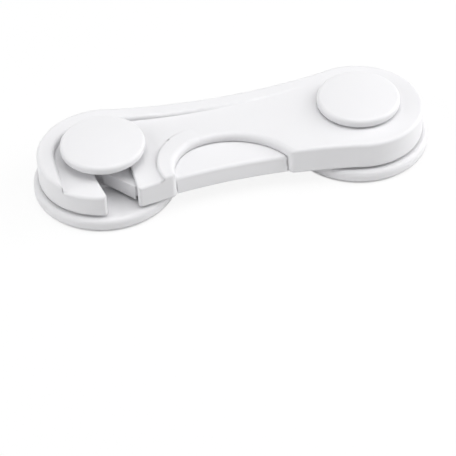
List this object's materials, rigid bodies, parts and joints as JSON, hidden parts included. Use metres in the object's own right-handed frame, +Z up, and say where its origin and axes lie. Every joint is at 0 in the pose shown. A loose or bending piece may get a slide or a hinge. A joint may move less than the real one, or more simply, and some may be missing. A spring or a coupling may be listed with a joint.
{
  "type": "cabinet safety lock",
  "caption": "White child-safety lock for cabinets: a waisted arm swings on a stick-on pivot base and hooks a second base's post behind a sprung bolt that a push button draws back.",
  "frame": {"origin": "midway between the two posts, on the plane of the adhesive faces", "axes": "+X from the latch post towards the pivot post, +Y towards the arm's plain back edge, away from the button, +Z up from the surface that the bases stick to"},
  "size_m": [0.1238, 0.0438, 0.0179],
  "materials": {
    "foam": "closed-cell foam pad with adhesive on both faces",
    "white_base": "satin moulded ABS",
    "white_cap": "satin moulded ABS",
    "white_arm": "satin moulded ABS",
    "white_button": "satin moulded ABS",
    "screw_steel": "zinc-plated steel",
    "spring_steel": "bright spring wire"
  },
  "bodies": {
    "pivot_mount": {"pivot_tape": "foam", "pivot_base": "white_base", "pivot_cap": "white_cap", "pivot_screw": "screw_steel"},
    "arm": {"arm_shell": "white_arm", "arm_cover": "white_arm", "cover_screws": "screw_steel", "left_spring": "spring_steel", "right_spring": "spring_steel"},
    "latch_mount": {"latch_tape": "foam", "latch_base": "white_base", "latch_cap": "white_cap", "latch_screw": "screw_steel"},
    "button": {"release_button": "white_button"},
    "bolt": {"latch_bolt": "white_button"}
  },
  "joints": [
    {"name": "arm_swing", "type": "hinge", "parent": "pivot_mount", "child": "arm", "pos_m": [0.04, 0, 0.009], "axis": [0, 0, 1], "continuous": true},
    {"name": "latch_swivel", "type": "hinge", "parent": "arm", "child": "latch_mount", "pos_m": [-0.04, 0, 0.009], "axis": [0, 0, 1], "continuous": true},
    {"name": "button_press", "type": "slide", "parent": "arm", "child": "button", "axis": [0, 1, 0], "range_m": [0, 0.0064], "stiffness_N_per_m": 350, "deforming": ["left_spring", "right_spring"]},
    {"name": "bolt_slide", "type": "slide", "parent": "arm", "child": "bolt", "axis": [1, 0, 0], "range_m": [0, 0.0064]}
  ],
  "couplings": [
    {"joint": "bolt_slide", "follows": "button_press", "ratio": 1}
  ]
}
